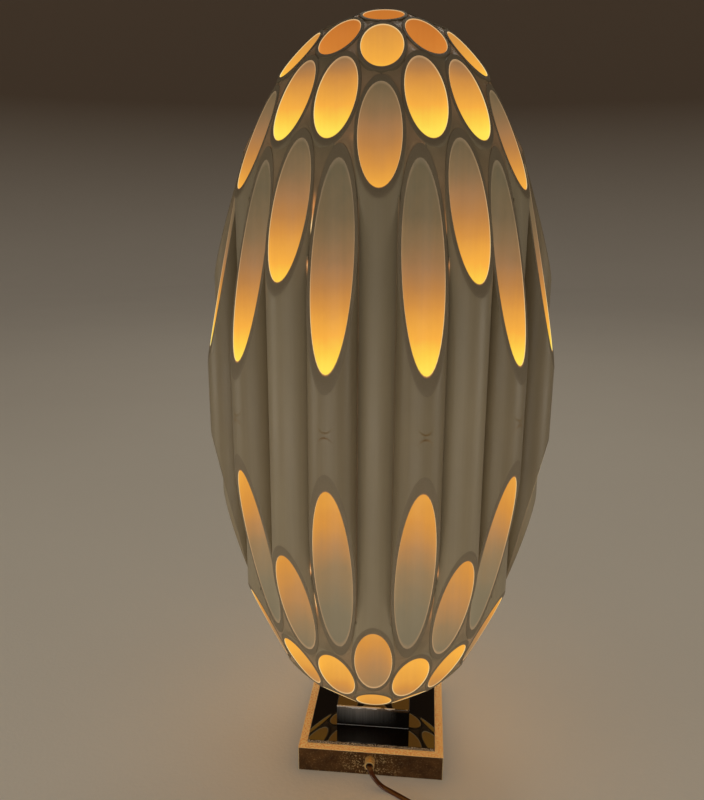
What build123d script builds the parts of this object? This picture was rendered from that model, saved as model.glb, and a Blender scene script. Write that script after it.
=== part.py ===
from build123d import *
import os
from math import atan2, cos, degrees, pi, radians, sin, tan

# Table lamp: an egg-shaped bundle of upright plastic tubes, mitred at both ends, on a low brass-framed
# base.  Millimetres, +Z up, the origin at the centre of the underside, the cord leaving the front at -Y.

# ---- driving dimensions ----
TUBE_OD = 38.1                  # 1 1/2 inch tube
TUBE_ID = 31.75                 # 1 1/4 inch bore
GLUE_LINE = 0.3
PITCH = TUBE_OD + GLUE_LINE
ROW_STEP = PITCH * sin(radians(60))
EGG_CENTRE_Z = 372.4
EGG_TURN = 2.42                 # the bundle sits a little askew on its base
# ring, named by its squared distance from the axis in pitches: (half height at the tube's axis, mitre angle)
RING_CUTS = {
    0: (320.0, 0.0),
    1: (311.5, 23.5),
    3: (292.0, 42.5),
    4: (282.5, 47.0),
    7: (244.0, 61.5),
    9: (216.5, 66.5),
    12: (163.0, 72.5),
    13: (123.0, 78.0),
}
CAVITY_FLOOR_Z = EGG_CENTRE_Z - 150.0
CAVITY_ROOF_Z = EGG_CENTRE_Z + 165.0

FRAME_SIDE = 141.0
FRAME_RIM = 8.1                 # brass left showing round the panel
BAR_WIDTH = 12.7
BAR_HEIGHT = 25.4
BAR_FOOT_Z = 0.4
BAR_TOP_Z = BAR_FOOT_Z + BAR_HEIGHT
PANEL_THICK = 3.0
PANEL_TOP_Z = BAR_TOP_Z + PANEL_THICK
BLOCK_SIDE = 73.0
BLOCK_TOP_Z = 50.4
SEAT_TOP_Z = EGG_CENTRE_Z - RING_CUTS[0][0]

COVER_SIDE = FRAME_SIDE - 2 * BAR_WIDTH - 1.0
FELT_THICK = 1.5
COVER_TOP_Z = 3.0
CORNER_SIDE = 14.0
CORNER_TOP_Z = 15.0
COVER_SCREW_RADIUS = 1.5
COVER_SCREW_LONG = 9.0
SCREW_HEAD_RADIUS = 3.0
SCREW_HEAD_THICK = 1.0
BALLAST_RADIUS = 44.0
BALLAST_THICK = 9.0

PIPE_RADIUS = 4.75
PIPE_BORE = 3.4
PIPE_FOOT_Z = 9.0
PIPE_TOP_Z = 276.0
PIPE_HOLE = 5.0                 # clearance radius in everything the pipe passes
NUT_ACROSS = 15.0
NUT_THICK = 4.0
PLATE_THICK = 3.0
LEDGE_HOLE = 42.0
LEDGE_RADIUS = 80.0

SOCKET_FOOT_Z = 270.0
SOCKET_RADIUS = 16.5
SOCKET_CAP_TOP = SOCKET_FOOT_Z + 20.0
SOCKET_TOP_Z = SOCKET_FOOT_Z + 57.0
SCREW_SHELL_ID = 26.8
BULB_CAP_RADIUS = 13.0
BULB_TIP_Z = 303.0
BULB_RADIUS = 30.0
BULB_TOP_Z = BULB_TIP_Z + 108.0

BUSHING_Z = 17.5
BUSHING_RADIUS = 4.8
BUSHING_REACH = 8.5
BUSHING_THREAD = BUSHING_RADIUS - 0.65
INNER_NUT_ACROSS = 13.0
INNER_NUT_THICK = 3.0
FRONT_Y = -FRAME_SIDE / 2

CORD_DIA = 5.3
CORD_Z = CORD_DIA / 2
COIL_CENTRE = (40.0, -170.0)
COIL_MID_RADIUS = 30.5
COIL_SIDE_TURNS = 4
COIL_LAYERS = 2
SWITCH_CENTRE = (105.0, -143.0)
SWITCH_HEADING = -35.0
SWITCH_LENGTH = 54.0
SWITCH_WIDTH = 21.0
SWITCH_HEIGHT = 16.0
WHEEL_RADIUS = 8.4
WHEEL_Z = 10.6
WHEEL_THICK = 5.0
PLUG_CENTRE = (-36.0, -176.5)
PLUG_HEADING = 158.0
PLUG_BODY = (26.0, 24.0, 15.0)
BLADE = (16.0, 1.5, 6.35)
BLADE_GAP = 12.7

os.makedirs("parts", exist_ok=True)


def save(name, *solids):
    """One STEP file for a node of one or more separate solids."""
    shape = solids[0] if len(solids) == 1 else Compound(children=list(solids))
    export_step(shape, f"parts/{name}.step")


def ring(outer, inner, low, high):
    """A round piece with a round hole, standing on the axis from low to high."""
    tall = high - low
    return Pos(0, 0, low + tall / 2) * (Cylinder(outer, tall) - Cylinder(inner, tall + 1))


def heading(centre, angle):
    """The place and direction of something lying on the table."""
    return Pos(centre[0], centre[1], 0) * Rot(0, 0, angle)


# ---- the bundle of tubes ----
def lattice():
    """Close-packed places out to the last ring, as (column, row in pitches, squared distance)."""
    places = []
    for column in range(-4, 5):
        for half_row in range(-8, 9):
            if (half_row - column) % 2:
                continue
            row = half_row / 2
            square = round(column * column * 0.75 + row * row)
            if square in RING_CUTS:
                places.append((column, row, square))
    return places


def tube(column, row, square, low=None, high=None):
    """One tube of the bundle, mitred top and bottom, or cut square at the cavity."""
    x, y = column * ROW_STEP, row * PITCH
    out = Vector(x, y, 0).normalized() if square else Vector(1, 0, 0)
    half, mitre = RING_CUTS[square]
    reach = half + TUBE_OD / 2 * tan(radians(mitre)) + 1
    bottom = -reach if low is None else low
    top = reach if high is None else high
    body = Pos(x, y, bottom) * extrude(Circle(TUBE_OD / 2) - Circle(TUBE_ID / 2), top - bottom)
    slope = Vector(0, 0, cos(radians(mitre))) + out * sin(radians(mitre))
    if high is None:
        body = split(body, Plane(origin=(x, y, half), z_dir=slope), keep=Keep.BOTTOM)
    if low is None:
        under = Vector(slope.X, slope.Y, -slope.Z)
        body = split(body, Plane(origin=(x, y, -half), z_dir=under), keep=Keep.BOTTOM)
    return Pos(0, 0, EGG_CENTRE_Z) * Rot(0, 0, EGG_TURN) * body.solid()


SIDES = ["front", "front_right", "back_right", "back", "back_left", "front_left"]
CORNERS = ["right_front", "right", "right_back", "left_back", "left", "left_front"]
nodes = {}
for column, row, square in lattice():
    angle = degrees(atan2(row * PITCH, column * ROW_STEP)) % 360
    floor, roof = CAVITY_FLOOR_Z - EGG_CENTRE_Z, CAVITY_ROOF_Z - EGG_CENTRE_Z
    if square <= 4:
        nodes.setdefault(f"bottom_tubes_ring_{square}", []).append(tube(column, row, square, high=floor))
        name = f"plug_tubes_ring_{square}" if square <= 1 else f"top_tubes_ring_{square}"
        nodes.setdefault(name, []).append(tube(column, row, square, low=roof))
    elif square == 12:
        side = CORNERS[round((angle - 300) / 60) % 6]
        nodes.setdefault(f"corner_tube_{side}", []).append(tube(column, row, square))
    else:
        side = SIDES[round((angle - 270) / 60) % 6]
        nodes.setdefault(f"side_tubes_{side}", []).append(tube(column, row, square))
for name, solids in nodes.items():
    save(name, *solids)

# the ledge that the lift-out plug of seven tubes stands on
ledge = ring(LEDGE_RADIUS, LEDGE_HOLE, CAVITY_ROOF_Z - PLATE_THICK, CAVITY_ROOF_Z)
save("plug_ledge", ledge)


# ---- the base ----
def mitred_bar(angle):
    """One side of the brass frame, with both ends mitred."""
    outer, inner = FRAME_SIDE / 2, FRAME_SIDE / 2 - BAR_WIDTH
    outline = Polyline((-outer, -outer), (outer, -outer), (inner, -inner), (-inner, -inner), close=True)
    bar = Pos(0, 0, BAR_FOOT_Z) * extrude(make_face(outline), BAR_HEIGHT)
    return Rot(0, 0, angle) * bar


hole_across = Rot(90, 0, 0) * Cylinder(BUSHING_RADIUS - 0.6, 3 * BAR_WIDTH)
save("frame_bar_front", mitred_bar(0) - Pos(0, FRONT_Y, BUSHING_Z) * hole_across)
for side, angle in (("right", 90), ("back", 180), ("left", 270)):
    save(f"frame_bar_{side}", mitred_bar(angle))

pipe_hole = Cylinder(PIPE_HOLE, 200)
panel_side = FRAME_SIDE - 2 * FRAME_RIM
panel = Pos(0, 0, BAR_TOP_Z + PANEL_THICK / 2) * Box(panel_side, panel_side, PANEL_THICK)
panel = chamfer(panel.edges().group_by(Axis.Z)[-1], 0.4)
save("top_panel", panel - pipe_hole)

block_tall = BLOCK_TOP_Z - PANEL_TOP_Z
block = Pos(0, 0, PANEL_TOP_Z + block_tall / 2) * Box(BLOCK_SIDE, BLOCK_SIDE, block_tall)
block = fillet(block.edges().filter_by(Axis.Z), 1.0)
block = fillet(block.edges().group_by(Axis.Z)[-1], 0.8)
save("riser_block", block - pipe_hole)
save("egg_washer", ring(TUBE_OD / 2, PIPE_HOLE, BLOCK_TOP_Z, SEAT_TOP_Z))

corner_at = COVER_SIDE / 2 - CORNER_SIDE / 2
corners = GridLocations(2 * corner_at, 2 * corner_at, 2, 2).locations
cover = Pos(0, 0, (FELT_THICK + COVER_TOP_Z) / 2) * Box(COVER_SIDE, COVER_SIDE, COVER_TOP_Z - FELT_THICK)
corner_blocks, cover_screws = [], []
for place in corners:
    cover -= place * Cylinder(COVER_SCREW_RADIUS + 0.3, 20)
    cube = Pos(0, 0, (COVER_TOP_Z + CORNER_TOP_Z) / 2)
    cube = cube * Box(CORNER_SIDE, CORNER_SIDE, CORNER_TOP_Z - COVER_TOP_Z)
    corner_blocks.append(place * (cube - Cylinder(1.55, 26)))
    sheet_thick = COVER_TOP_Z - FELT_THICK
    shank = Cylinder(COVER_SCREW_RADIUS, COVER_SCREW_LONG + sheet_thick)
    head = Pos(0, 0, FELT_THICK - SCREW_HEAD_THICK / 2) * Cylinder(SCREW_HEAD_RADIUS, SCREW_HEAD_THICK)
    cover_screws.append(place * (Pos(0, 0, sheet_thick + COVER_SCREW_LONG / 2) * shank + head))
save("bottom_cover", cover)
save("corner_blocks", *corner_blocks)
felt = Pos(0, 0, FELT_THICK / 2) * Box(COVER_SIDE, COVER_SIDE, FELT_THICK)
for place in corners:
    felt -= place * Cylinder(SCREW_HEAD_RADIUS + 0.6, 20)
save("felt_sheet", felt)
save("cover_screws", *cover_screws)

ballast = ring(BALLAST_RADIUS, PIPE_HOLE, BAR_TOP_Z - BALLAST_THICK, BAR_TOP_Z)
save("ballast_disc", ballast)

# ---- the lamp pipe and what it clamps ----
save("lamp_pipe", ring(PIPE_RADIUS, PIPE_BORE, PIPE_FOOT_Z, PIPE_TOP_Z))
plate = ring(1.5 * PITCH, PIPE_HOLE, CAVITY_FLOOR_Z, CAVITY_FLOOR_Z + PLATE_THICK)
for place in PolarLocations(PITCH, 6, start_angle=30 + EGG_TURN).locations:
    plate -= place * Pos(0, 0, CAVITY_FLOOR_Z) * Cylinder(TUBE_ID / 2 - 1, 4 * PLATE_THICK)
save("clamp_plate", plate)


def nut(low):
    """A thin hexagon nut on the lamp pipe."""
    flats = RegularPolygon(NUT_ACROSS / 2, 6, major_radius=False) - Circle(PIPE_RADIUS + 0.05)
    return Pos(0, 0, low) * extrude(flats, NUT_THICK)


nut_feet = (BAR_TOP_Z - BALLAST_THICK - NUT_THICK, CAVITY_FLOOR_Z + PLATE_THICK, SOCKET_FOOT_Z - NUT_THICK)
save("pipe_nuts", *[nut(low) for low in nut_feet])


# ---- the lampholder ----
def turned(*points):
    """A solid of revolution from its half outline, given as (radius, height) points."""
    outline = Polyline(*[(r, 0, z) for r, z in points], close=True)
    return revolve(make_face(outline), Axis.Z, 360)


CAP_WALL = 0.8
cap_inner = SOCKET_RADIUS - CAP_WALL
save("socket_cap", turned(
    (PIPE_RADIUS + 0.05, SOCKET_FOOT_Z), (7.5, SOCKET_FOOT_Z), (SOCKET_RADIUS, SOCKET_FOOT_Z + 10),
    (SOCKET_RADIUS, SOCKET_CAP_TOP), (cap_inner, SOCKET_CAP_TOP), (cap_inner, SOCKET_FOOT_Z + 10.5),
    (7.5, SOCKET_FOOT_Z + 1.5), (PIPE_RADIUS + 0.05, SOCKET_FOOT_Z + 1.5)))
shell_outer = SOCKET_RADIUS - 1.0
save("socket_shell", ring(shell_outer, shell_outer - 0.6, SOCKET_CAP_TOP - 6, SOCKET_TOP_Z))
save("socket_liner", ring(shell_outer - 0.7, shell_outer - 1.5, SOCKET_CAP_TOP - 5, SOCKET_TOP_Z - 1))
core_top = BULB_TIP_Z - 2.0
core = ring(shell_outer - 2.0, 1.6, SOCKET_CAP_TOP - 4, core_top)
save("socket_core", core)
screw_shell_inner = SCREW_SHELL_ID / 2
screw_shell = ring(screw_shell_inner + 0.4, screw_shell_inner, core_top + 0.2, SOCKET_TOP_Z - 3)
screw_shell += ring(screw_shell_inner + 0.4, 8.0, core_top, core_top + 0.6)
save("socket_screw_shell", screw_shell)
contact = Pos(0, 0, core_top + 0.8) * Cylinder(4.0, 1.6) + Pos(0, 0, core_top - 4) * Cylinder(1.5, 8)
save("socket_contact", contact)

# ---- the bulb ----
cap_top = BULB_TIP_Z + 27.0
save("bulb_cap", turned(
    (0, BULB_TIP_Z), (4.5, BULB_TIP_Z), (5.0, BULB_TIP_Z + 1.5), (BULB_CAP_RADIUS, BULB_TIP_Z + 5),
    (BULB_CAP_RADIUS, cap_top), (0, cap_top)))
crown_z = BULB_TOP_Z - BULB_RADIUS
neck_radius = BULB_CAP_RADIUS - 0.2


def bulb_solid(wall):
    """The glass envelope filled in, or its hollow."""
    radius = BULB_RADIUS - wall
    neck_foot = (neck_radius - wall, cap_top)
    neck_head = (neck_radius - wall, cap_top + 8)
    shoulder = (radius * cos(radians(30)), crown_z - radius * sin(radians(30)))
    with BuildSketch(Plane.XZ) as half:
        with BuildLine():
            Line((0, cap_top), neck_foot)
            Line(neck_foot, neck_head)
            Spline(neck_head, shoulder, tangents=[(0, 1), (sin(radians(30)), cos(radians(30)))])
            ThreePointArc(shoulder, (radius * cos(radians(20)), crown_z + radius * sin(radians(20))),
                          (0, crown_z + radius))
            Line((0, crown_z + radius), (0, cap_top))
        make_face()
    return revolve(half.sketch, Axis.Z, 360)


GLASS = 0.8
glass = bulb_solid(0) - bulb_solid(GLASS)
save("bulb_glass", glass)
STEM_TALL = 24.0
WIRE_TALL = 20.0
WIRE_APART = 14.0
stem = Pos(0, 0, cap_top + STEM_TALL / 2) * Cylinder(3.5, STEM_TALL)
wires = [Pos(side * WIRE_APART / 2, 0, cap_top + 30) * Cylinder(0.4, WIRE_TALL) for side in (-1, 1)]
coil_wire = Rot(0, 90, 0) * Cylinder(0.9, WIRE_APART + 0.8)
coil_wire = Pos(0, 0, cap_top + 30 + WIRE_TALL / 2 - 0.5) * coil_wire
bridge = Pos(0, 0, cap_top + STEM_TALL - 2) * Box(WIRE_APART + 2, 2, 3)
save("bulb_filament", stem + bridge + wires[0] + wires[1] + coil_wire)


# ---- the cord's way out of the base ----
def along_y(radius, hole, front, back, height):
    """A round sleeve lying along Y, from front to back at a height over the table."""
    sleeve = Cylinder(radius, back - front) - Cylinder(hole, back - front + 1)
    return Pos(0, (front + back) / 2, height) * Rot(90, 0, 0) * sleeve


bushing_front = FRONT_Y - BUSHING_REACH
bushing_back = FRONT_Y + BAR_WIDTH + 5.0
grommet_wall = 0.8
bushing_bore = CORD_DIA / 2 + 0.1 + grommet_wall
bushing = along_y(BUSHING_RADIUS, bushing_bore, bushing_front, FRONT_Y, BUSHING_Z)
bushing += along_y(BUSHING_THREAD, bushing_bore, FRONT_Y, bushing_back, BUSHING_Z)
for groove in (2.2, 5.4):
    ridge_y = bushing_front + groove
    bushing -= along_y(BUSHING_RADIUS + 1, BUSHING_RADIUS - 0.4, ridge_y, ridge_y + 0.8, BUSHING_Z)
save("cord_bushing", bushing)
save("bushing_grommet", along_y(bushing_bore - 0.02, CORD_DIA / 2 + 0.08, bushing_front, FRONT_Y, BUSHING_Z))
flats = RegularPolygon(INNER_NUT_ACROSS / 2, 6, major_radius=False) - Circle(BUSHING_THREAD + 0.05)
inner_nut = Rot(90, 0, 0) * extrude(flats, INNER_NUT_THICK)
inner_nut = Pos(0, FRONT_Y + BAR_WIDTH + INNER_NUT_THICK, BUSHING_Z) * inner_nut
save("bushing_nut", inner_nut)


def rounded_path(points, share=0.45):
    """Straight runs joined by arcs as large as the shorter run at each corner allows."""
    radii = []
    for before, corner, after in zip(points, points[1:], points[2:]):
        arriving, leaving = Vector(*corner) - Vector(*before), Vector(*after) - Vector(*corner)
        turn = radians(arriving.get_angle(leaving))
        radii.append(share * min(arriving.length, leaving.length) / tan(turn / 2))
    return FilletPolyline(*points, radius=radii), radii


def along(points, radius):
    """A round cord or wire swept along a rounded path."""
    path, radii = rounded_path(points)
    start = Plane(origin=path @ 0, z_dir=path % 0)
    swept = sweep(start * Circle(radius), path=path)
    expected = pi * radius * radius * path.length
    print("cord radii", [round(r, 1) for r in radii], "length", round(path.length, 1),
          "volume ratio", round(swept.volume / expected, 3))
    return swept


LEAD_RADIUS = 1.1
lead_top = SOCKET_CAP_TOP - 4.5
leads = []
for x in (-1.3, 1.3):
    leads.append(along([
        (x, bushing_back, BUSHING_Z), (x, bushing_back + 5, 14.5), (x, -38, 6.5), (x, -20, 4.6),
        (x, 0, 5.2), (x, 0.3, 22), (x, 0, 60), (x, 0.1, 120), (x, 0, 200), (x, 0.1, PIPE_TOP_Z), (x, 0, lead_top)],
        LEAD_RADIUS))
save("internal_leads", *leads)

# ---- the free cord: lamp to switch, switch to coil, coil to plug ----
swing = radians(SWITCH_HEADING)
CORD_SIDE = -2.8                # the cord runs to one side of the thumbwheel
CORD_PORT_Z = 5.0


def switch_port(end):
    """Where the cord meets one end of the switch, end being -1 or 1."""
    x, y = end * SWITCH_LENGTH / 2, CORD_SIDE
    place = heading(SWITCH_CENTRE, SWITCH_HEADING) * Pos(x, y, CORD_PORT_Z)
    return tuple(place.position)


def on_coil(angle, height):
    """A point on the middle of the coil's outermost turn."""
    outer = COIL_MID_RADIUS + (COIL_SIDE_TURNS - 1) / 2 * CORD_DIA
    x, y = COIL_CENTRE[0] + outer * cos(radians(angle)), COIL_CENTRE[1] + outer * sin(radians(angle))
    return (x, y, height)


cord_lead = [
    (0, -75.5, BUSHING_Z), (0, -81.5, BUSHING_Z), (1.8, -85.2, 13.6), (5.6, -86.6, 8.6), (12.0, -87.8, 4.4),
    (21.2, -90.8, CORD_Z), (30.8, -96.8, CORD_Z), (41.2, -103.4, CORD_Z), (54.0, -110.6, CORD_Z),
    (66.0, -118.4, 3.2), switch_port(-1)]
save("cord_to_switch", along(cord_lead, CORD_DIA / 2))
cord_return = [
    switch_port(1), (134.5, -169.5, 3.6), (142.5, -179.0, CORD_Z), (147.0, -190.0, CORD_Z),
    (146.0, -201.5, CORD_Z), (138.5, -210.5, CORD_Z), (127.0, -214.5, CORD_Z), (112.0, -214.5, CORD_Z),
    (94.0, -211.5, CORD_Z), (75.0, -208.0, CORD_Z), (57.0, -208.2, CORD_Z), on_coil(-92, CORD_Z)]
save("cord_to_coil", along(cord_return, CORD_DIA / 2))
coil_half_width = COIL_SIDE_TURNS * CORD_DIA / 2
coil = ring(COIL_MID_RADIUS + coil_half_width, COIL_MID_RADIUS - coil_half_width, 0, COIL_LAYERS * CORD_DIA)
save("cord_coil", Pos(*COIL_CENTRE, 0) * coil)

plug_back = heading(PLUG_CENTRE, PLUG_HEADING) * Pos(-PLUG_BODY[0] / 2, 0, PLUG_BODY[2] / 2)
before_plug = plug_back * Pos(-8, 0, 0)
cord_tail = [
    on_coil(-112, CORD_DIA * 1.5), (14.0, -199.6, 6.8), (2.5, -193.2, 4.4), (-8.0, -187.8, 5.4),
    tuple(before_plug.position), tuple(plug_back.position)]
save("cord_to_plug", along(cord_tail, CORD_DIA / 2))

# ---- the plug ----
body = Pos(0, 0, PLUG_BODY[2] / 2) * Box(*PLUG_BODY)
body = chamfer(body.faces().sort_by(Axis.X)[0].edges(), 4.0)
body = fillet(body.faces().sort_by(Axis.X)[-1].edges(), 1.2)
save("plug_body", heading(PLUG_CENTRE, PLUG_HEADING) * body)
blades = []
for side in (-1, 1):
    place = Pos(PLUG_BODY[0] / 2 + BLADE[0] / 2, side * BLADE_GAP / 2, PLUG_BODY[2] / 2)
    blade = Box(*BLADE) - Pos(BLADE[0] / 2 - 4, 0, 0) * Rot(90, 0, 0) * Cylinder(1.6, 5)
    blades.append(heading(PLUG_CENTRE, PLUG_HEADING) * place * blade)
save("plug_blades", *blades)

# ---- the thumbwheel switch on the cord ----
SWITCH_WALL = 1.6
SPLIT_Z = SWITCH_HEIGHT / 2
AXLE_RADIUS = 1.2
WHEEL_SIDE = 4.2
place = heading(SWITCH_CENTRE, SWITCH_HEADING)
case = Pos(0, 0, SWITCH_HEIGHT / 2) * Box(SWITCH_LENGTH, SWITCH_WIDTH, SWITCH_HEIGHT)
case = fillet(case.edges().filter_by(Axis.Z), 5.0)
case = fillet(case.edges().group_by(Axis.Z)[-1] + case.edges().group_by(Axis.Z)[0], 1.5)
room = Box(SWITCH_LENGTH - 2 * SWITCH_WALL, SWITCH_WIDTH - 2 * SWITCH_WALL, SWITCH_HEIGHT - 2 * SWITCH_WALL)
room = fillet(room.edges().filter_by(Axis.Z), 4.0)
case -= Pos(0, 0, SWITCH_HEIGHT / 2) * room
case -= Pos(0, CORD_SIDE, CORD_PORT_Z) * Rot(0, 90, 0) * Cylinder(CORD_DIA / 2 + 0.1, SWITCH_LENGTH + 2)
slot_length = 2 * (WHEEL_RADIUS * WHEEL_RADIUS - (SWITCH_HEIGHT - SWITCH_WALL - WHEEL_Z) ** 2) ** 0.5 + 1.4
case -= Pos(0, WHEEL_SIDE, SWITCH_HEIGHT) * Box(slot_length, WHEEL_THICK + 0.8, 4 * SWITCH_WALL)
axle_length = SWITCH_WIDTH - 2 * SWITCH_WALL + 1.2
case -= Pos(0, 0, WHEEL_Z) * Rot(90, 0, 0) * Cylinder(AXLE_RADIUS + 0.06, axle_length + 0.2)
halves = split(case, Plane.XY.offset(SPLIT_Z), keep=Keep.BOTH)
low_half, high_half = sorted(halves.solids(), key=lambda solid: solid.center().Z)
switch_screws = []
for spot in (Pos(-SWITCH_LENGTH / 2 + 8, WHEEL_SIDE, 0), Pos(SWITCH_LENGTH / 2 - 8, WHEEL_SIDE, 0)):
    low_half += spot * Pos(0, 0, (SWITCH_WALL + SPLIT_Z) / 2) * Cylinder(2.6, SPLIT_Z - SWITCH_WALL)
    low_half -= spot * Cylinder(1.35, 2 * SPLIT_Z)
    high_half -= spot * Pos(0, 0, SWITCH_HEIGHT) * Cylinder(1.35, 4 * SWITCH_WALL)
    high_half -= spot * Pos(0, 0, SWITCH_HEIGHT) * Cylinder(2.5, 1.6)
    shank = Pos(0, 0, SWITCH_HEIGHT / 2) * Cylinder(1.25, SWITCH_HEIGHT - 2 * SWITCH_WALL + 0.4)
    switch_screws.append(place * spot * (shank + Pos(0, 0, SWITCH_HEIGHT - 0.4) * Cylinder(2.3, 0.8)))
save("switch_case_bottom", place * low_half)
save("switch_case_top", place * high_half)
save("switch_screws", *switch_screws)
wheel = Pos(0, WHEEL_SIDE, WHEEL_Z) * Rot(90, 0, 0) * Cylinder(WHEEL_RADIUS, WHEEL_THICK)
wheel += Pos(0, 0, WHEEL_Z) * Rot(90, 0, 0) * Cylinder(AXLE_RADIUS, axle_length)
for step in range(12):
    notch = Pos(0, 0, WHEEL_RADIUS) * Rot(90, 0, 0) * Cylinder(0.8, WHEEL_THICK + 1)
    wheel -= Pos(0, WHEEL_SIDE, WHEEL_Z) * Rot(0, 30 * step, 0) * notch
save("switch_wheel", place * wheel)
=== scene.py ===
import math
import random

import bmesh
import bpy
from mathutils import Matrix, Vector


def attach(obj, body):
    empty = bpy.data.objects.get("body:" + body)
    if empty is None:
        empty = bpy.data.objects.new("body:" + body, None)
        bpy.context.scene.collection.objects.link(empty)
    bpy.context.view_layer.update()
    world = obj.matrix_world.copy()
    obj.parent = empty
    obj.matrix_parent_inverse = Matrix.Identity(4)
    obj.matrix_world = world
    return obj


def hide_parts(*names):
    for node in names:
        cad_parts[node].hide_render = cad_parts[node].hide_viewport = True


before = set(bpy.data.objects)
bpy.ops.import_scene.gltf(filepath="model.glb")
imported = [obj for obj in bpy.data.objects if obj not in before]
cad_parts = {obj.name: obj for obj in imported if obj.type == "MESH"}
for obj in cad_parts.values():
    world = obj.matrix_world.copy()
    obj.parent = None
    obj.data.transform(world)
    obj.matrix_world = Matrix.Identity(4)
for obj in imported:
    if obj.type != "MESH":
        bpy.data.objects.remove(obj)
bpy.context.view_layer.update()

# ---- the viewing place ----
# A still camera at table height, a little to the front right of the lamp and tipped down at it.
scene = bpy.context.scene
scene.view_settings.view_transform = "Standard"
camera_data = bpy.data.cameras.new("camera")
camera_data.sensor_width = 36.0
camera_data.lens = 33.73
camera = bpy.data.objects.new("camera", camera_data)
scene.collection.objects.link(camera)
camera.matrix_world = (
    Matrix.Translation((0.04191, -0.68404, 0.54097))
    @ Matrix.Rotation(math.radians(5.666), 4, "Z")
    @ Matrix.Rotation(math.radians(75.229), 4, "X")
    @ Matrix.Rotation(math.radians(0.228), 4, "Z")
)
scene.camera = camera


# ---- the room ----
# A pale seamless bowl of painted board that the lamp stands in, lit by large soft panels: the
# room is kept low so that the lamp's own light shows.
def tint(red, green, blue):
    """A paint-chart colour, each part from 0 to 255, as linear light."""
    parts = [part / 255 for part in (red, green, blue)]
    return tuple(p / 12.92 if p <= 0.04045 else ((p + 0.055) / 1.055) ** 2.4 for p in parts) + (1.0,)


class Recipe:
    """A material's node tree, built a node at a time."""

    def __init__(self, name):
        self.material = bpy.data.materials.new(name)
        self.material.use_nodes = True
        self.tree = self.material.node_tree
        self.shader = self.tree.nodes["Principled BSDF"]

    def node(self, kind, **settings):
        """Adds a node; a setting named after a socket sets or links that socket."""
        made = self.tree.nodes.new(kind)
        for key, value in settings.items():
            if hasattr(made, key):
                setattr(made, key, value)
            else:
                self.feed(made.inputs[key.replace("_", " ")], value)
        return made

    def feed(self, socket, value):
        """Links a socket to another, or sets its value."""
        if isinstance(value, bpy.types.NodeSocket):
            self.tree.links.new(value, socket)
        else:
            socket.default_value = value

    def math(self, operation, *values, clamp=False):
        """A sum worked out at each point."""
        made = self.tree.nodes.new("ShaderNodeMath")
        made.operation = operation
        made.use_clamp = clamp
        for socket, value in zip(made.inputs, values):
            self.feed(socket, value)
        return made.outputs[0]

    def blend(self, share, first, second):
        """A mix of two colours."""
        made = self.tree.nodes.new("ShaderNodeMix")
        made.data_type = "RGBA"
        self.feed(made.inputs["Factor"], share)
        self.feed(made.inputs["A"], first)
        self.feed(made.inputs["B"], second)
        return made.outputs["Result"]

    def ramp(self, value, *stops):
        """A value turned into a colour or another value, through (place, colour) stops."""
        made = self.tree.nodes.new("ShaderNodeValToRGB")
        slots = made.color_ramp.elements
        while len(slots) < len(stops):
            slots.new(0.5)
        for slot, (place, colour) in zip(slots, stops):
            slot.position = place
            slot.color = colour if isinstance(colour, tuple) else (colour, colour, colour, 1)
        self.feed(made.inputs["Fac"], value)
        return made.outputs["Color"]

    def attribute(self, name):
        """A value stored on the mesh's points."""
        return self.node("ShaderNodeAttribute", attribute_name=name).outputs["Fac"]

    def place(self, axis):
        """Where a point is along the piece's X, Y or Z, in metres."""
        whole = self.node("ShaderNodeTexCoord").outputs["Object"]
        return self.node("ShaderNodeSeparateXYZ", Vector=whole).outputs[axis]

    def finish(self, colour, rough, metallic=0.0, height=None, depth=0.0, **fixed):
        """Feeds the shader; the fixed values go straight onto its sockets."""
        self.feed(self.shader.inputs["Base Color"], colour)
        self.feed(self.shader.inputs["Roughness"], rough)
        self.feed(self.shader.inputs["Metallic"], metallic)
        if height is not None:
            bump = self.node("ShaderNodeBump", Strength=0.6, Distance=depth, Height=height)
            self.feed(self.shader.inputs["Normal"], bump.outputs["Normal"])
        for key, value in fixed.items():
            self.feed(self.shader.inputs[key.replace("_", " ")], value)
        return self.material


def group(name, inputs, outputs):
    """An empty node group with float inputs and outputs, and its two end nodes."""
    tree = bpy.data.node_groups.new(name, "ShaderNodeTree")
    for key, value in inputs.items():
        socket = tree.interface.new_socket(name=key, in_out="INPUT", socket_type="NodeSocketFloat")
        socket.default_value = value
    for key in outputs:
        tree.interface.new_socket(name=key, in_out="OUTPUT", socket_type="NodeSocketFloat")
    return tree, tree.nodes.new("NodeGroupInput"), tree.nodes.new("NodeGroupOutput")


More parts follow.
